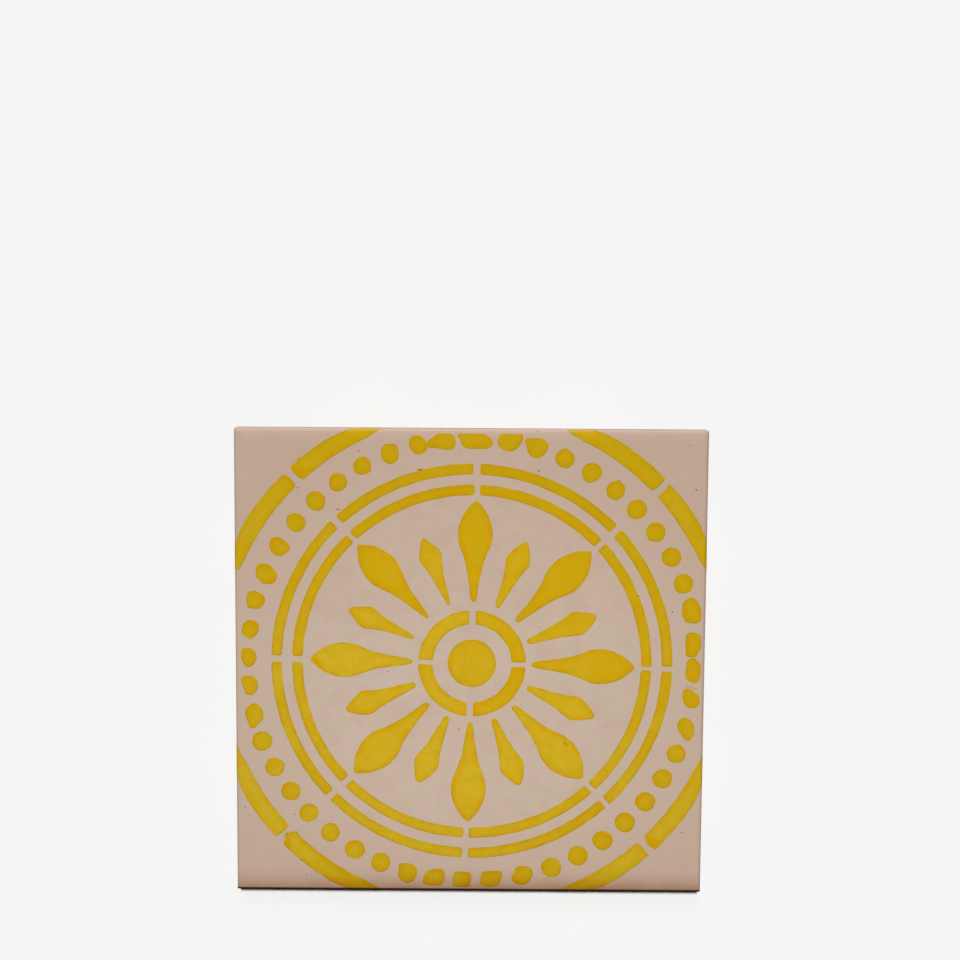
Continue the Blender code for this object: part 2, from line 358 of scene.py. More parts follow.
class Shell:
    """Points and faces of one closed mesh, in millimetres."""

    def __init__(self):
        self.points = []
        self.faces = []
        self.spread = []        # each point's place on the face spread out flat
        self.shore = []         # how far each point of a stencilled pad lies from the pad's outline
        self.tone = []          # above zero for pale, below it for pooled, down to PATCH_TONES for amber
        self.thin = []          # 0 for a full coat of yellow, 1 for none, -1 for a dark fleck

    def add(self, points, spread=None, shore=0.0, tone=0.0, thin=0.0):
        start, count = len(self.points), len(points)
        self.points += [tuple(point) for point in points]
        self.spread += [tuple(place[:2]) for place in (points if spread is None else spread)]
        self.shore += [float(value) for value in np.broadcast_to(shore, count)]
        self.tone += [float(value) for value in np.broadcast_to(tone, count)]
        self.thin += [thin] * count
        return list(range(start, start + count))

    def band(self, lower, upper):
        """Quads between two rings with as many points each, facing out where they run anticlockwise."""
        for near in range(len(lower)):
            far = (near + 1) % len(lower)
            self.faces.append((lower[near], lower[far], upper[far], upper[near]))

    def fill(self, loops, spots=(), down=False):
        """Triangles inside the first loop of points, through the further loops and single points."""
        ids = [index for loop in loops for index in loop] + list(spots)
        edges = []
        start = 0
        for loop in loops:
            edges += [(start + k, start + (k + 1) % len(loop)) for k in range(len(loop))]
            start += len(loop)
        result = delaunay_2d_cdt([Vector(self.spread[index]) for index in ids], edges, [], 1, 1e-7)
        source = [ids[found[0]] for found in result[3]]
        for triangle in result[2]:
            face = [source[corner] for corner in triangle]
            self.faces.append(face[::-1] if down else face)

    def piece(self, name, material, slot, mapped=True):
        mesh = bpy.data.meshes.new(name)
        mesh.from_pydata([[value * MM for value in point] for point in self.points], [], self.faces)
        mesh.shade_smooth()
        mesh.set_sharp_from_angle(angle=SHARP_ANGLE)
        for label in ("shore", "tone", "thin"):
            mesh.attributes.new(label, 'FLOAT', 'POINT').data.foreach_set("value", getattr(self, label))
        if mapped:
            self.map(mesh)
        mesh.materials.append(material)
        made = bpy.data.objects.new(name, mesh)
        bpy.context.scene.collection.objects.link(made)
        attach(made, "root")
        return made

    def map(self, mesh):
        """A flat map of the face as it is spread out, for pieces that lie along it."""
        spread = np.array(self.spread)
        low, high = spread.min(0), spread.max(0)
        corners = np.array([loop.vertex_index for loop in mesh.loops])
        places = (spread[corners] - low) / (high - low).max() * (1 - 2 * MAP_MARGIN) + MAP_MARGIN
        mesh.uv_layers.new(name="OFBake").uv.foreach_set("vector", places.astype(np.float32).ravel())


# Outlines

def tile_outline(inset, side_steps=110, corner_steps=10):
    """The tile's outline drawn in by inset, anticlockwise from the right."""
    radius = CORNER_RADIUS + CORNER_SOFTENING * inset
    reach = HALF - inset - radius
    points = []
    for quarter in range(4):
        along = quarter * math.pi / 2
        for step in range(side_steps):
            across = mix(-reach, reach, step / side_steps)
            points.append(turned(HALF - inset, across, along))
        for step in range(corner_steps):
            angle = step / corner_steps * math.pi / 2
            corner = reach + radius * math.cos(angle), reach + radius * math.sin(angle)
            points.append(turned(*corner, along))
    return points


def rounded_bar(half_x, half_y, radius, offset, corner_steps=5, side_steps=40):
    """A bar with round corners about (0, offset), anticlockwise."""
    points = []
    corners = ((half_x, half_y), (-half_x, half_y), (-half_x, -half_y), (half_x, -half_y))
    for number, (x, y) in enumerate(corners):
        start = number * math.pi / 2
        centre = (x - math.copysign(radius, x), y - math.copysign(radius, y) + offset)
        for step in range(corner_steps + 1):
            angle = start + step / corner_steps * math.pi / 2
            points.append((centre[0] + radius * math.cos(angle), centre[1] + radius * math.sin(angle)))
        if number in (0, 2):
            for step in range(1, side_steps):
                points.append((mix(centre[0], -centre[0], step / side_steps), points[-1][1]))
    return points


def curve_through(stations, spacing):
    """Points about spacing apart on a smooth curve through the stations."""
    knots = [np.array(station, float) for station in stations]
    knots = [2 * knots[0] - knots[1]] + knots + [2 * knots[-1] - knots[-2]]
    points = []
    for before, start, end, after in zip(knots, knots[1:], knots[2:], knots[3:]):
        steps = max(1, round(float(np.linalg.norm(end - start)) / spacing))
        bend = 2 * before - 5 * start + 4 * end - after
        twist = 3 * start - before - 3 * end + after
        for step in range(steps):
            t = step / steps
            points.append(0.5 * (2 * start + (end - before) * t + bend * t ** 2 + twist * t ** 3))
    return points + [knots[-2]]


def resampled(points, spacing):
    """The same closed outline with points evenly about spacing apart."""
    ring = np.array(list(points) + [points[0]])
    walked = np.concatenate([[0], np.cumsum(np.linalg.norm(np.diff(ring, axis=0), axis=1))])
    count = max(8, round(walked[-1] / spacing))
    stops = np.arange(count) / count * walked[-1]
    return np.column_stack([np.interp(stops, walked, ring[:, 0]), np.interp(stops, walked, ring[:, 1])])


def anticlockwise(points):
    points = np.array(points, float)
    x, y = points.T
    area = (x * np.roll(y, -1) - y * np.roll(x, -1)).sum()
    return points if area > 0 else points[::-1]


def outward(points):
    """Unit normals of a closed anticlockwise outline."""
    along = np.roll(points, -1, 0) - np.roll(points, 1, 0)
    normal = np.column_stack([along[:, 1], -along[:, 0]])
    return normal / np.maximum(np.linalg.norm(normal, axis=1, keepdims=True), 1e-9)


def softened(points, rounds):
    """Rounds the corners of a closed outline by averaging neighbours."""
    for _ in range(rounds):
        points = (np.roll(points, 1, 0) + 2 * points + np.roll(points, -1, 0)) / 4
    return points


def hand_cut(points, raggedness, seed, rounds=2, grown=0.0):
    """An outline as a hand cut stencil and a loaded brush leave it, spread out by grown."""
    points = softened(resampled(anticlockwise(points), PAD_SPACING), rounds)
    waves = [0.65 * wobble(x, y, 3.5, seed) + 0.35 * wobble(x, y, 1.1, seed + 5) for x, y in points]
    return points + outward(points) * (raggedness * np.array(waves) + grown)[:, None]


def clipped(points, half):
    """A closed outline cut off at a square of that half side."""
    for axis, side in ((0, 1), (0, -1), (1, 1), (1, -1)):
        kept = []
        for here, there in zip(points, np.roll(points, -1, 0)):
            inside, next_inside = side * here[axis] <= half, side * there[axis] <= half
            if inside:
                kept.append(here)
            if inside != next_inside:
                t = (side * half - here[axis]) / (there[axis] - here[axis])
                kept.append(here + (there - here) * t)
        points = np.array(kept)
    return points


def place(points, angle=0.0):
    """From the stencil's own frame to the tile's."""
    placed = [turned(x, y, PATTERN_TURN + angle) for x, y in points]
    return np.array(placed) + PATTERN_CENTRE


def ellipse(x, y, length, width, turn=0.0, steps=24):
    points = []
    for step in range(steps):
        angle = step / steps * math.tau
        along, across = turned(length / 2 * math.cos(angle), width / 2 * math.sin(angle), turn)
        points.append((x + along, y + across))
    return points


def petal_outline(stations):
    """A petal along +X from its stem to its tip and back."""
    side = curve_through(stations, 0.5)
    return [(s, -w) for s, w in side] + [(s, w) for s, w in reversed(side)]


def arc_outline(inner, outer, start, end, trims):
    """A stretch of a ring that stops short of its start and end by an even width."""
    steps = max(6, round(outer * (end - start) / 0.8))

    def swept(radius):
        first, last = start + math.asin(trims[0] / radius), end - math.asin(trims[1] / radius)
        return [mix(first, last, step / steps) for step in range(steps + 1)]

    low = [(inner * math.cos(a), inner * math.sin(a)) for a in swept(inner)]
    high = [(outer * math.cos(a), outer * math.sin(a)) for a in swept(outer)]
    return high + low[::-1]


def drawn_in_at_rim(points):
    """An outer arc grows narrower where it runs over the rolled rim."""
    inner, outer = OUTER_RING
    away = points - PATTERN_CENTRE
    radius = np.linalg.norm(away, axis=1)
    side = ((radius - inner) / (outer - inner) * 2 - 1).clip(-1, 1)
    near_edge = (1 - (HALF - np.abs(points).max(1)) / RIM_WIDTH).clip(0, 1) ** 2
    return points + away * (near_edge * (0.35 - 1.05 * side) / radius)[:, None]


# Stencilled pads

PAD_SINK = 0.02             # the outline of a pad lies this far under the glaze
PAD_HEIGHT = 0.045          # and its middle this far above it
PAD_BANK = 0.16
PAD_INSETS = (0.1, 0.26, 0.55)
PAD_SPACING = 0.35          # of the points on an outline
PAD_GRID = 0.8              # of the points inside
ARRIS_GRID = 0.14           # of the points across the arris
ARRIS_GRID_SHORE = 0.06     # how near an outline they come
FLECK_HEIGHT = 0.08         # a fleck or speck stands higher, as some lie on the yellow
PATCH_HEIGHT = 0.06         # so does a patch of amber
PATCH_SHORE = 0.8           # from a patch's outline to its full colour
FILM_HEIGHT = 0.012         # of a smear that hardly covers the glaze


def pad_lift(shore, height=PAD_HEIGHT):
    return -PAD_SINK + (PAD_SINK + height) * (1 - math.exp(-shore / PAD_BANK))


def patch_lift(shore):
    return pad_lift(shore, PATCH_HEIGHT)


def film_lift(shore):
    return pad_lift(shore, FILM_HEIGHT)


def fleck_lift(shore):
    return -PAD_SINK + (PAD_SINK + FLECK_HEIGHT) * min(1.0, shore / 0.1)


def inside(points, outline):
    """Which of the points lie inside the closed outline."""
    x, y = points[:, 0, None], points[:, 1, None]
    ax, ay = outline[:, 0], outline[:, 1]
    bx, by = np.roll(ax, -1), np.roll(ay, -1)
    crosses = (ay > y) != (by > y)
    rise = np.where(by == ay, 1e-12, by - ay)
    return (crosses & (x < ax + (y - ay) * (bx - ax) / rise)).sum(1) % 2 == 1


def shore_of(points, outline):
    """Distance of each point from the closed outline."""
    run = np.roll(outline, -1, 0) - outline
    length = np.maximum((run ** 2).sum(1), 1e-12)
    found = []
    for part in np.array_split(points, len(points) // 400 + 1):
        t = (((part[:, None] - outline) * run).sum(2) / length).clip(0, 1)
        found.append(np.linalg.norm(part[:, None] - outline - t[:, :, None] * run, axis=2).min(1))
    return np.concatenate(found)


def over_arris(outline):
    """Extra points where an outline crosses the arris, which bends too fast for the usual ones."""
    points = []
    for here, there in zip(outline, np.roll(outline, -1, 0)):
        near_arris = max(np.abs(here).max(), np.abs(there).max()) > ARRIS_START - 0.2
        steps = math.ceil(np.linalg.norm(there - here) / ARRIS_GRID) if near_arris else 1
        points += [mix(here, there, step / steps) for step in range(steps)]
    return np.array(points)


def grid(low, high, step, row_step):
    """Staggered rows of points that cover a box."""
    spots = []
    for number, y in enumerate(np.arange(low[1], high[1], row_step)):
        row = np.arange(low[0] + step / 2 * (number % 2), high[0], step)
        spots.append(np.column_stack([row, np.full(len(row), y)]))
    return np.concatenate(spots)


def arris_rows(low, high):
    """Close rows of points along each stretch of arris in a box."""
    spots = [np.empty((0, 2))]
    for axis in (0, 1):
        along = np.arange(low[1 - axis], high[1 - axis], 2 * PAD_SPACING)
        for side in (-1, 1):
            for run in np.arange(-ARRIS_GRID, ARRIS_LENGTH + ARRIS_GRID, ARRIS_GRID):
                edge = side * (ARRIS_START + run)
                if low[axis] < edge < high[axis]:
                    columns = (np.full(len(along), edge), along)
                    spots.append(np.column_stack(columns if axis == 0 else columns[::-1]))
    return np.concatenate(spots)


def add_pad(shell, outline, tone=0.0, thin=0.0, lift=pad_lift, deeper=0.0):
    """One closed pad that follows the face, with its tone lower by deeper in its middle."""
    outline = over_arris(outline)
    low, high = outline.min(0), outline.max(0)
    groups = [(outline - outward(outline) * inset, inset * 0.8) for inset in PAD_INSETS]
    inner_grid = grid(low, high, PAD_GRID, PAD_GRID * math.sqrt(3) / 2)
    groups.append((inner_grid, PAD_INSETS[-1] + PAD_GRID * 0.4))
    groups.append((arris_rows(low, high), ARRIS_GRID_SHORE))
    spots = np.concatenate([spots for spots, _ in groups])
    needed = np.concatenate([np.full(len(spots), least) for spots, least in groups])
    shore = shore_of(spots, outline)
    kept = inside(spots, outline) & (shore >= needed)
    spots, shore = spots[kept], shore[kept]
    edge = shell.add([fold(x, y, -PAD_SINK) for x, y in outline], outline, 0.0, tone, thin)
    shell.fill([edge], down=True)
    top = [fold(x, y, lift(far)) for (x, y), far in zip(spots, shore)]
    top_tone = tone - deeper * np.minimum(1, shore / PATCH_SHORE)
    shell.fill([edge], shell.add(top, spots, shore, top_tone, thin))


def tones(seed):
    generator = np.random.default_rng(seed)
    while True:
        yield float(generator.uniform(-1, 1))


def disc_and_ring(shell):
    disc = ellipse(0, 0, 2 * DISC_RADIUS, 2 * DISC_RADIUS, steps=60)
    add_pad(shell, hand_cut(place(disc) + DISC_OFFSET, 0.12, 1.0))
    for quarter in range(4):
        start = quarter * math.pi / 2
        trims = INNER_BRIDGES[quarter][1], INNER_BRIDGES[(quarter + 1) % 4][0]
        arc = arc_outline(*INNER_RING, start, start + math.pi / 2, trims)
        add_pad(shell, hand_cut(place(arc) + INNER_OFFSET, 0.22, 2.0 + quarter, 3), INNER_TONES[quarter])


def petals(shell):
    rows = ((LARGE_PETAL, LARGE_SLIPS, 0.0, 20), (SMALL_PETAL, SMALL_SLIPS, math.pi / 8, 40))
    for stations, slips, first, seed in rows:
        for number, (slide, spread, tone) in enumerate(slips):
            petal = petal_outline([(along + slide, half_width) for along, half_width in stations])
            outline = place(petal, first + number * math.pi / 4)
            add_pad(shell, hand_cut(outline, 0.22, seed + number, grown=spread), tone)


def double_ring(shell):
    for (inner, outer), bridges, ring_tones in zip(DOUBLE_RING, DOUBLE_BRIDGES, DOUBLE_TONES):
        for number, tone in enumerate(ring_tones):
            start = number * math.pi / 4
            trims = bridges[number][1], bridges[(number + 1) % 8][0]
            arc = arc_outline(inner, outer, start, start + math.pi / 4, trims)
            rounds = 7 if 2 <= number < 6 else 3
            add_pad(shell, hand_cut(place(arc), 0.2, inner + number, rounds), tone)


def dots(shell):
    tone = tones(5)
    for number in range(DOT_COUNT):
        if number in ODD_DOTS:
            outline, raggedness, grown = np.array(ODD_DOTS[number]), 0.12, 0.38
        else:
            dot = ellipse(DOT_CIRCLE, 0, 2 * DOT_RADIUS, 2 * DOT_RADIUS)
            outline, raggedness, grown = place(dot, number / DOT_COUNT * math.tau), 0.45, 0.17
        *slide, spread = DOT_SLIPS.get(number, (0.0, 0.0, 0.0))
        outline = hand_cut(outline + slide, raggedness, 60.0 + number, grown=grown + spread)
        shade = next(tone) * DOT_STRAY + DOT_TONE + DOT_SHADES.get(number, 0.0)
        add_pad(shell, np.clip(outline, -STENCIL_REACH, STENCIL_REACH), shade)


def outer_ring(shell):
    for number, tone in enumerate(OUTER_TONES):
        start = math.pi / 4 * (number + 1)
        end = start + OUTER_SWEEP
        if number % 2:
            end = start + math.pi / 4
            start = end - OUTER_SWEEP
        arc = place(arc_outline(*OUTER_RING, start, end, (OUTER_TRIM, OUTER_TRIM)))
        tip = np.array(ARC_ENDS[number])
        middle = len(arc) // 2
        arc = np.concatenate([arc[:middle], tip, arc[middle:]] if number % 2 else [arc, tip])
        arc = drawn_in_at_rim(hand_cut(arc, 0.2, 120.0 + number))
        add_pad(shell, clipped(arc, ARRIS_START + ARRIS_LENGTH + OVERRUN), tone)


def crumbs(shell):
    tone = tones(7)
    for x, y, length, width, turn, thin in CRUMBS:
        outline = ellipse(x, y, length, width, math.radians(turn))
        outline = hand_cut(outline, 0.3 * width, 3 * x + y, 1)
        lift = fleck_lift if thin < 0 else film_lift if thin > 0.3 else pad_lift
        add_pad(shell, outline, next(tone), thin, lift)
    first, last = PATCH_TONES
    for points in AMBER_PATCHES:
        outline = hand_cut(points, 0.2, points[0][0])
        add_pad(shell, outline, first, lift=patch_lift, deeper=first - last)


def specks(shell):
    for x, y, width in SPECKS:
        outline = ellipse(x, y, width, width * 0.8, x, 10)
        add_pad(shell, np.array(outline), lift=fleck_lift)


# The body

def add_coat(shell):
    """The glaze: over the face, round the arris and down the sides to a wavy lip."""
    def ring(inset, height, run):
        outline = tile_outline(inset)
        grown = 1 + (inset + run) / HALF
        spread = [(x * grown, y * grown) for x, y in outline]
        return shell.add([(x, y, height(x, y)) for x, y in outline], spread)

    def lip(x, y):
        return LIP_HEIGHT + LIP_WAVE * (0.6 * wobble(x, y, 9.0, 7.7) + 0.4 * wobble(x, y, 2.5, 8.8))

    def side_ring(inset, above_lip):
        return ring(inset, lambda x, y: lip(x, y) + above_lip, ARRIS_CENTRE - LIP_HEIGHT - above_lip)

    def inner_ring(inset, height):
        run = ARRIS_CENTRE - height if height < ARRIS_CENTRE else -inset
        return ring(inset, lambda x, y: height, run)

    under = FACE - COAT_THICKNESS
    outside = [side_ring(COAT_INSET, 0.0), side_ring(BISCUIT_INSET * 0.5, -0.05), side_ring(0.01, 0.12),
               side_ring(0.0, LIP_REACH)]
    within = [outside[0], inner_ring(COAT_INSET, SHOULDER), inner_ring(COAT_INSET + 0.5, SHOULDER + 0.4),
              inner_ring(2.5, under - 0.1), inner_ring(RIM_WIDTH, under)]
    for lower, upper in zip(within, within[1:]):
        shell.band(upper, lower)
    shell.fill([within[-1]], down=True)
    runs = [ARRIS_LENGTH * (1 - step / ARRIS_STEPS) for step in range(ARRIS_STEPS)]
    runs += [(ARRIS_INSET - RIM_WIDTH) * step / RIM_STEPS for step in range(RIM_STEPS + 1)]
    for run in runs:
        inset, height, _ = section(run)
        outside.append(ring(inset, lambda x, y: height + wave(x, y, inset), run - ARRIS_INSET))
    for lower, upper in zip(outside, outside[1:]):
        shell.band(lower, upper)
    reach = HALF - RIM_WIDTH - FACE_MARGIN
    spots = grid((-reach, -reach), (reach, reach), FACE_GRID, FACE_GRID)
    shell.fill([outside[-1]], shell.add([fold(x, y) for x, y in spots], spots))


def add_biscuit(shell):
    """The fired clay: plain sides, and a back with keying grooves."""
    def ring(inset, height):
        return shell.add([(x, y, height) for x, y in tile_outline(inset)])

    under_glaze = FACE - COAT_THICKNESS - 2 * WAVE_HEIGHT
    rings = [ring(BACK_CHAMFER + BISCUIT_INSET, 0.0), ring(BISCUIT_INSET + 0.1, 0.1),
             ring(BISCUIT_INSET, BACK_CHAMFER), ring(BISCUIT_INSET, SHOULDER),
             ring(BISCUIT_INSET + 0.6, SHOULDER + 0.38), ring(RIM_WIDTH, under_glaze)]
    for lower, upper in zip(rings, rings[1:]):
        shell.band(lower, upper)
    shell.fill([rings[-1]])
    loops = [rings[0]]
    wall = ((-0.12, 0.0), (0.0, 0.04), (0.08, 0.14), (KEY_DRAFT - 0.08, KEY_DEPTH - 0.12),
            (KEY_DRAFT, KEY_DEPTH - 0.03), (KEY_DRAFT + 0.12, KEY_DEPTH))
    for number in range(KEY_COUNT):
        offset = (number - (KEY_COUNT - 1) / 2) * KEY_PITCH
        for drawn_in, height in wall:
            half_x, half_y = KEY_LENGTH / 2 - drawn_in, KEY_MOUTH / 2 - drawn_in
            bar = rounded_bar(half_x, half_y, KEY_CORNER - drawn_in, offset)
            loops.append(shell.add([(x, y, height) for x, y in bar]))
    shell.fill(loops, down=True)


# Materials

# Painted light and shade along the glaze's edges, as how far from the edge each starts and is full, and
# its colour
# a painted highlight along the upper arris, on the side the light comes from
UPPER_HIGHLIGHT = (1.4, 0.4, (1.11, 1.06, 1.06, 1.0))
# painted shade along the arrises of the sides and of the lower edge
ARRIS_SHADE = (0.9, 0.0, (0.80, 0.74, 0.74, 1.0))
# more painted shade along the right arris
RIGHT_SHADE = (1.2, 0.3, (0.90, 0.86, 0.87, 1.0))
# warm painted shade over the lower rim
LOWER_SHADE = (9.0, 0.0, (0.675, 0.467, 0.37, 1.0))
# a painted shadow that turns the lower arris nearly black
LOWER_EDGE_SHADOW = (0.92, 0.52, (0.06, 0.02, 0.015, 1.0))
ARRIS_SEEN = 0.22           # the camera sees the lower arris from this far above its centre


class Nodes:
    """A material's node tree, with short ways to add and link nodes."""

    def __init__(self, name):
        self.material = bpy.data.materials.new(name)
        self.material.use_nodes = True
        self.tree = self.material.node_tree
        self.shader = self.tree.nodes["Principled BSDF"]

    def add(self, kind, inputs=None, **settings):
        node = self.tree.nodes.new(kind)
        for key, value in settings.items():
            setattr(node, key, value)
        for key, value in (inputs or {}).items():
            if isinstance(value, bpy.types.NodeSocket):
                self.tree.links.new(value, node.inputs[key])
            else:
                node.inputs[key].default_value = value
        return node

    def place(self):
        """Object space, which is the tile's own frame in metres."""
        return self.add("ShaderNodeTexCoord").outputs["Object"]

    def xyz(self):
        return self.add("ShaderNodeSeparateXYZ", {0: self.place()}).outputs

    def from_middle(self):
        return self.add("ShaderNodeVectorMath", {0: self.place()}, operation='LENGTH').outputs["Value"]

    def noise(self, size, detail=2.0):
        """Noise from 0 to 1 with bumps about size millimetres wide."""
        inputs = {"Vector": self.place(), "Scale": 1 / (size * MM), "Detail": detail}
        return self.add("ShaderNodeTexNoise", inputs).outputs["Fac"]

    def math(self, operation, a, b=0.0, clamp=False):
        return self.add("ShaderNodeMath", {0: a, 1: b}, operation=operation, use_clamp=clamp).outputs[0]

    def times(self, value, *factors):
        for factor in factors:
            value = self.math('MULTIPLY', value, factor)
        return value

    def span(self, value, low, high, to_low=0.0, to_high=1.0):
        inputs = {"Value": value, "From Min": low, "From Max": high, "To Min": to_low, "To Max": to_high}
        return self.add("ShaderNodeMapRange", inputs).outputs["Result"]

    def blend(self, share, a, b, blend_type='MIX'):
        inputs = {0: share, 6: a, 7: b}
        return self.add("ShaderNodeMix", inputs, data_type='RGBA', blend_type=blend_type).outputs[2]

    def attribute(self, name):
        return self.add("ShaderNodeAttribute", attribute_name=name).outputs["Fac"]

    def set_in(self, outward, tint):
        """How far a tint has set in, from a coordinate that grows towards its edge."""
        starts, full, _ = tint
        return self.span(outward, (HALF - starts) * MM, (HALF - full) * MM)

    def edges_with_painted_light(self, colour):
        """Painted highlight along the upper arris and painted shade along the others, most by the lower
        edge.
        """
        x, y, z = self.xyz()
        down = self.times(y, -1.0)
        upper = self.times(self.set_in(y, UPPER_HIGHLIGHT), self.span(x, 0.0, 0.06, 1.0, 0.6))
        arris = self.set_in(self.math('MAXIMUM', self.math('ABSOLUTE', x), down), ARRIS_SHADE)
        lower = self.set_in(down, LOWER_SHADE)
        lower = self.times(lower, lower, self.span(self.noise(7.0), 0.3, 0.7, 0.85, 1.1),
                           self.span(x, -0.05, 0.05, 0.92, 1.12), self.off_sides(z))
        tinted = ((upper, UPPER_HIGHLIGHT), (arris, ARRIS_SHADE), (self.set_in(x, RIGHT_SHADE), RIGHT_SHADE),
                  (lower, LOWER_SHADE), (self.lower_arris_shadow(), LOWER_EDGE_SHADOW))
        for share, (_, _, tint) in tinted:
            colour = self.blend(share, colour, tint, 'MULTIPLY')
        return colour

    def lower_arris_shadow(self):
        """The lower arris, painted nearly black as the shadow under the tile's lower edge."""
        _, y, z = self.xyz()
        return self.times(self.set_in(self.times(y, -1.0), LOWER_EDGE_SHADOW), self.off_sides(z))

    def off_sides(self, z):
        """One on the face and what the camera sees of the arris, zero on the sides."""
        return self.span(z, ARRIS_CENTRE * MM, (ARRIS_CENTRE + ARRIS_SEEN) * MM)

    def finish(self, colour, roughness, relief=None, depth=0.0):
        self.tree.links.new(colour, self.shader.inputs["Base Color"])
        self.tree.links.new(roughness, self.shader.inputs["Roughness"])
        if relief is not None:
            inputs = {"Height": relief, "Distance": depth * MM, "Strength": 1.0}
            bump = self.add("ShaderNodeBump", inputs)
            self.tree.links.new(bump.outputs["Normal"], self.shader.inputs["Normal"])
        return self.material


def srgb(red, green, blue):
    """Levels from 0 to 255 as the linear colour that a shader takes."""
    def linear(value):
        value /= 255
        return value / 12.92 if value <= 0.04045 else ((value + 0.055) / 1.055) ** 2.4
    return (linear(red), linear(green), linear(blue), 1.0)


FACE_LIT_MIDDLE = srgb(200, 177, 160)
FACE_OUTER = srgb(190, 165, 146)
DEEP_YELLOW = srgb(206, 164, 14)
PALE_YELLOW = srgb(209, 174, 37)
POOLED_YELLOW = srgb(206, 151, 6)
AMBER = srgb(210, 158, 4)
OLIVE_RIM = srgb(168, 147, 10)
FLECK_BROWN = srgb(96, 74, 30)


def glaze_material():
    nodes = Nodes("glaze")
    # Lighter towards the middle: a painted pool of light
    colour = nodes.blend(nodes.span(nodes.from_middle(), 0.045, 0.085), FACE_LIT_MIDDLE, FACE_OUTER)
    colour = nodes.blend(nodes.span(nodes.noise(30.0), 0.3, 0.7, 0.0, 0.3), colour, srgb(190, 169, 148))
    colour = nodes.blend(nodes.span(nodes.noise(5.0), 0.45, 0.7, 0.0, 0.6), colour, srgb(197, 166, 154))
    colour = nodes.blend(nodes.span(nodes.noise(6.5), 0.45, 0.7, 0.0, 0.45), colour, srgb(189, 168, 145))
    colour = nodes.blend(nodes.span(nodes.noise(0.8), 0.58, 0.8, 0.0, 0.25), colour, srgb(176, 152, 134))
    _, up, _ = nodes.xyz()
    cooler = nodes.times(nodes.span(up, 0.035, 0.005), nodes.span(up, -0.048, -0.065, 1.0, 0.0))
    colour = nodes.blend(cooler, colour, (1.02, 1.048, 1.052, 1.0), 'MULTIPLY')
    roughness = nodes.span(nodes.noise(3.0, 3.0), 0.3, 0.7, 0.34, 0.44)
    # rough too where the lower arris is painted in shadow
    roughness = nodes.math('MAXIMUM', roughness, nodes.lower_arris_shadow())
    relief = nodes.math('ADD', nodes.noise(1.6), nodes.times(nodes.noise(9.0, 1.0), 2.0))
    return nodes.finish(nodes.edges_with_painted_light(colour), roughness, relief, 0.012)


def yellow_material():
    nodes = Nodes("stencil_glaze")
    shore, tone, thin = [nodes.attribute(name) for name in ("shore", "tone", "thin")]
    across, up, _ = nodes.xyz()
    # Paler towards the lower left: a painted sheen; the tone and the noise are the brushing's own
    pale_and_sheen = nodes.span(nodes.math('ADD', up, nodes.times(across, 0.4)), 0.05, -0.05)
    pale_and_sheen = nodes.math('ADD', pale_and_sheen, nodes.times(tone, 0.3))
    pale_and_sheen = nodes.math('ADD', pale_and_sheen, nodes.span(nodes.noise(11.0), 0.3, 0.7, -0.35, 0.35), clamp=True)
    colour = nodes.blend(pale_and_sheen, DEEP_YELLOW, PALE_YELLOW)
    pooled = nodes.times(nodes.span(shore, 0.3, 2.4, 1.0, 0.0), nodes.span(nodes.noise(5.0), 0.35, 0.6))
    pooled = nodes.times(pooled, nodes.span(tone, 0.8, -0.8, 0.5, 1.0))
    colour = nodes.blend(pooled, colour, POOLED_YELLOW)
    colour = nodes.blend(nodes.span(nodes.noise(4.0), 0.5, 0.65, 0.0, 0.4), colour, srgb(192, 167, 14))
    mottled = nodes.span(nodes.noise(1.6, 3.0), 0.5, 0.8, 0.0, 0.35)
    colour = nodes.blend(mottled, colour, srgb(186, 153, 12))
    colour = nodes.blend(nodes.span(tone, *PATCH_TONES), colour, AMBER)
    rim = nodes.times(nodes.span(shore, 0.15, 0.75, 0.7, 0.0), nodes.span(nodes.noise(3.0), 0.35, 0.6))
    rim = nodes.times(rim, nodes.span(tone, PATCH_TONES[0], -2.5))
    colour = nodes.blend(rim, colour, OLIVE_RIM)
    # Darker over the outer rings, most of all below: painted shade where the light falls off, as on the
    # glaze
    outer = nodes.span(nodes.from_middle(), 0.042, 0.062)
    outer_shade = nodes.times(outer, nodes.span(up, 0.03, -0.03, 0.3, 1.0))
    colour = nodes.blend(outer_shade, colour, (0.92, 0.93, 0.95, 1.0), 'MULTIPLY')
    outer_shade_above = nodes.times(outer, nodes.span(up, 0.0, 0.04))
    colour = nodes.blend(outer_shade_above, colour, (0.93, 0.97, 1.0, 1.0), 'MULTIPLY')
    # Darker and less yellow at the bottom dots: painted shade by the lower edge
    colour = nodes.blend(nodes.span(up, -0.063, -0.068), colour, (0.95, 0.97, 0.85, 1.0), 'MULTIPLY')
    colour = nodes.blend(nodes.span(thin, 0.0, 1.0), colour, FACE_OUTER)
    colour = nodes.blend(nodes.span(thin, 0.0, -1.0), colour, FLECK_BROWN)
    # rough too where the lower arris is painted in shadow
    roughness = nodes.math('MAXIMUM', nodes.span(nodes.noise(2.5), 0.3, 0.7, 0.36, 0.48), nodes.lower_arris_shadow())
    return nodes.finish(nodes.edges_with_painted_light(colour), roughness, nodes.noise(0.9), 0.01)


def speck_material():
    nodes = Nodes("iron_speck")
    colour = nodes.blend(nodes.noise(0.5), srgb(98, 72, 58), srgb(128, 100, 82))
    roughness = nodes.span(nodes.noise(0.3), 0.3, 0.7, 0.4, 0.6)
    return nodes.finish(colour, roughness, nodes.noise(0.2), 0.004)


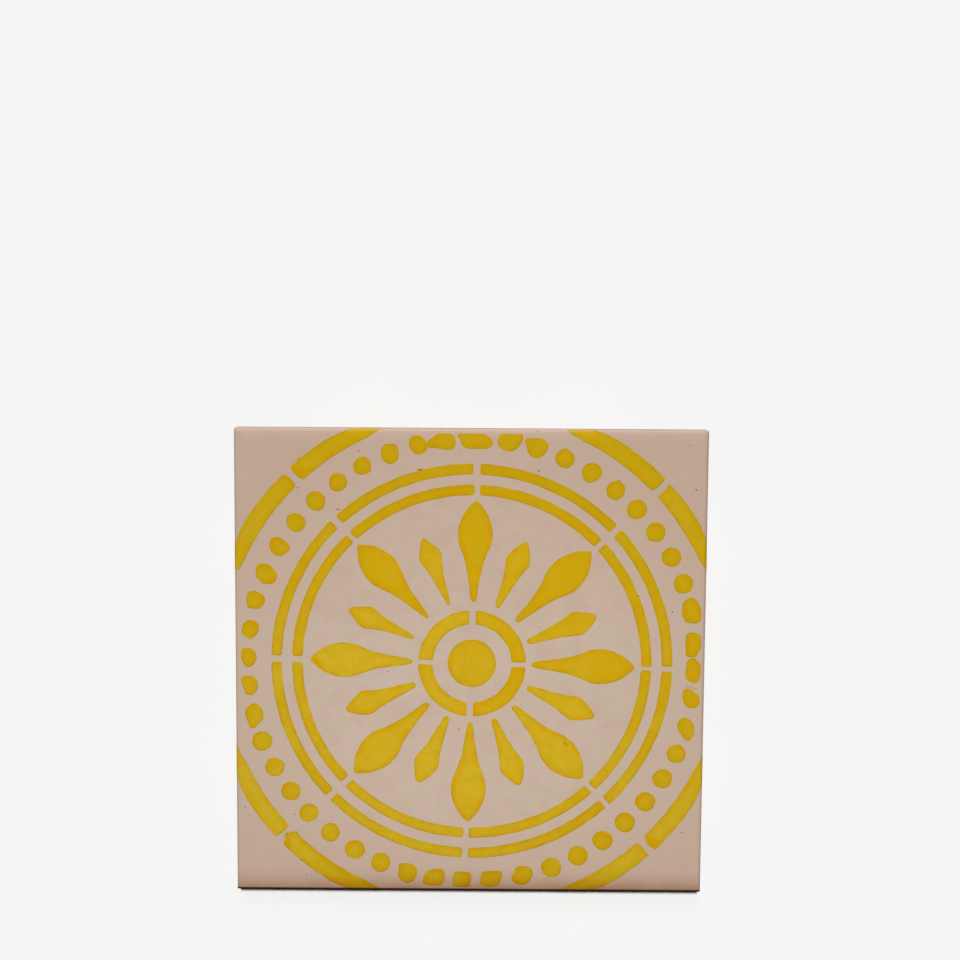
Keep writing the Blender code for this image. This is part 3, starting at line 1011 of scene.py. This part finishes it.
def biscuit_material():
    nodes = Nodes("biscuit")
    cloudy = nodes.span(nodes.noise(14.0, 3.0), 0.3, 0.7)
    colour = nodes.blend(cloudy, srgb(190, 143, 118), srgb(205, 160, 136))
    colour = nodes.blend(nodes.span(nodes.noise(0.5), 0.55, 0.8, 0.0, 0.5), colour, srgb(164, 118, 96))
    roughness = nodes.span(nodes.noise(2.0), 0.3, 0.7, 0.82, 0.95)
    relief = nodes.math('ADD', nodes.noise(0.6, 3.0), nodes.times(nodes.noise(5.0), 1.5))
    return nodes.finish(colour, roughness, relief, 0.09)


def floor_material():
    nodes = Nodes("floor")
    colour = nodes.blend(nodes.noise(400.0, 1.0), (0.90, 0.90, 0.90, 1.0), (0.91, 0.91, 0.91, 1.0))
    return nodes.finish(colour, nodes.span(nodes.noise(300.0), 0.0, 1.0, 0.9, 0.95))


# The scene

PIECES = (
    ("tile_biscuit", add_biscuit, biscuit_material, "biscuit"),
    ("tile_glaze", add_coat, glaze_material, "glaze"),
    ("stencil_rosette", disc_and_ring, yellow_material, "stencil_glaze"),
    ("stencil_petals", petals, yellow_material, "stencil_glaze"),
    ("stencil_double_ring", double_ring, yellow_material, "stencil_glaze"),
    ("stencil_dots", dots, yellow_material, "stencil_glaze"),
    ("stencil_outer_ring", outer_ring, yellow_material, "stencil_glaze"),
    ("stencil_crumbs", crumbs, yellow_material, "stencil_glaze"),
    ("glaze_specks", specks, speck_material, "glaze"),
)
UNMAPPED = ("tile_biscuit", "glaze_specks")     # they lie round the tile, or in too many small spots
FLOOR_REACH = 8.0           # metres


def make_tile():
    materials = {maker: maker() for _, _, maker, _ in PIECES}
    for name, shape, material, slot in PIECES:
        shell = Shell()
        shape(shell)
        piece = shell.piece(name, materials[material], slot, mapped=name not in UNMAPPED)
        if name.startswith("tile"):
            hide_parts("tile")
            # The floor in the photograph takes no light back from the tile
            piece.visible_diffuse = False


def make_floor():
    mesh = bpy.data.meshes.new("floor")
    corners = [(-FLOOR_REACH, -FLOOR_REACH, 0), (FLOOR_REACH, -FLOOR_REACH, 0),
               (FLOOR_REACH, FLOOR_REACH, 0), (-FLOOR_REACH, FLOOR_REACH, 0)]
    mesh.from_pydata(corners, [], [(0, 1, 2, 3)])
    mesh.materials.append(floor_material())
    floor = bpy.data.objects.new("floor", mesh)
    bpy.context.scene.collection.objects.link(floor)


CAMERA_PLACE = (3.79, 122.59, 569.92)      # above the middle of the glazed face
CAMERA_TURN = (-6.364, 0.14, 0.362)        # degrees
CAMERA_LENS = 68.12


def make_camera():
    camera = bpy.data.objects.new("camera", bpy.data.cameras.new("camera"))
    bpy.context.scene.collection.objects.link(camera)
    camera.data.lens = CAMERA_LENS
    camera.data.sensor_width = 36.0
    camera.data.clip_start = 0.01
    camera.location = Vector(CAMERA_PLACE) * MM + Vector((0, 0, FACE * MM))
    camera.rotation_euler = [math.radians(angle) for angle in CAMERA_TURN]
    bpy.context.scene.camera = camera


# Lamps as (name, lean from overhead towards +Y and width in degrees, strength, colour, seen in gloss)
LAMPS = (
    ("key", 23.5, 6.6, 3.29, (1.0, 0.997, 0.98), False),
    ("low_fill", 48.0, 25.0, 0.286, (1.0, 1.047, 1.3), True),
)
WORLD_STRENGTH = 0.012
WORLD_COLOUR = (1.0, 0.78, 0.62, 1.0)


def make_lights():
    for name, lean, width, strength, colour, glossy in LAMPS:
        lamp = bpy.data.lights.new(name, 'SUN')
        lamp.energy = strength
        lamp.color = colour
        lamp.angle = math.radians(width)
        holder = bpy.data.objects.new(name, lamp)
        holder.rotation_euler = (-math.radians(lean), 0, 0)
        holder.visible_glossy = glossy
        bpy.context.scene.collection.objects.link(holder)
    world = bpy.data.worlds.new("studio")
    world.use_nodes = True
    background = world.node_tree.nodes["Background"]
    background.inputs["Color"].default_value = WORLD_COLOUR
    background.inputs["Strength"].default_value = WORLD_STRENGTH
    bpy.context.scene.world = world
    bpy.context.scene.view_settings.view_transform = 'Standard'


make_camera()
make_lights()
make_floor()
make_tile()
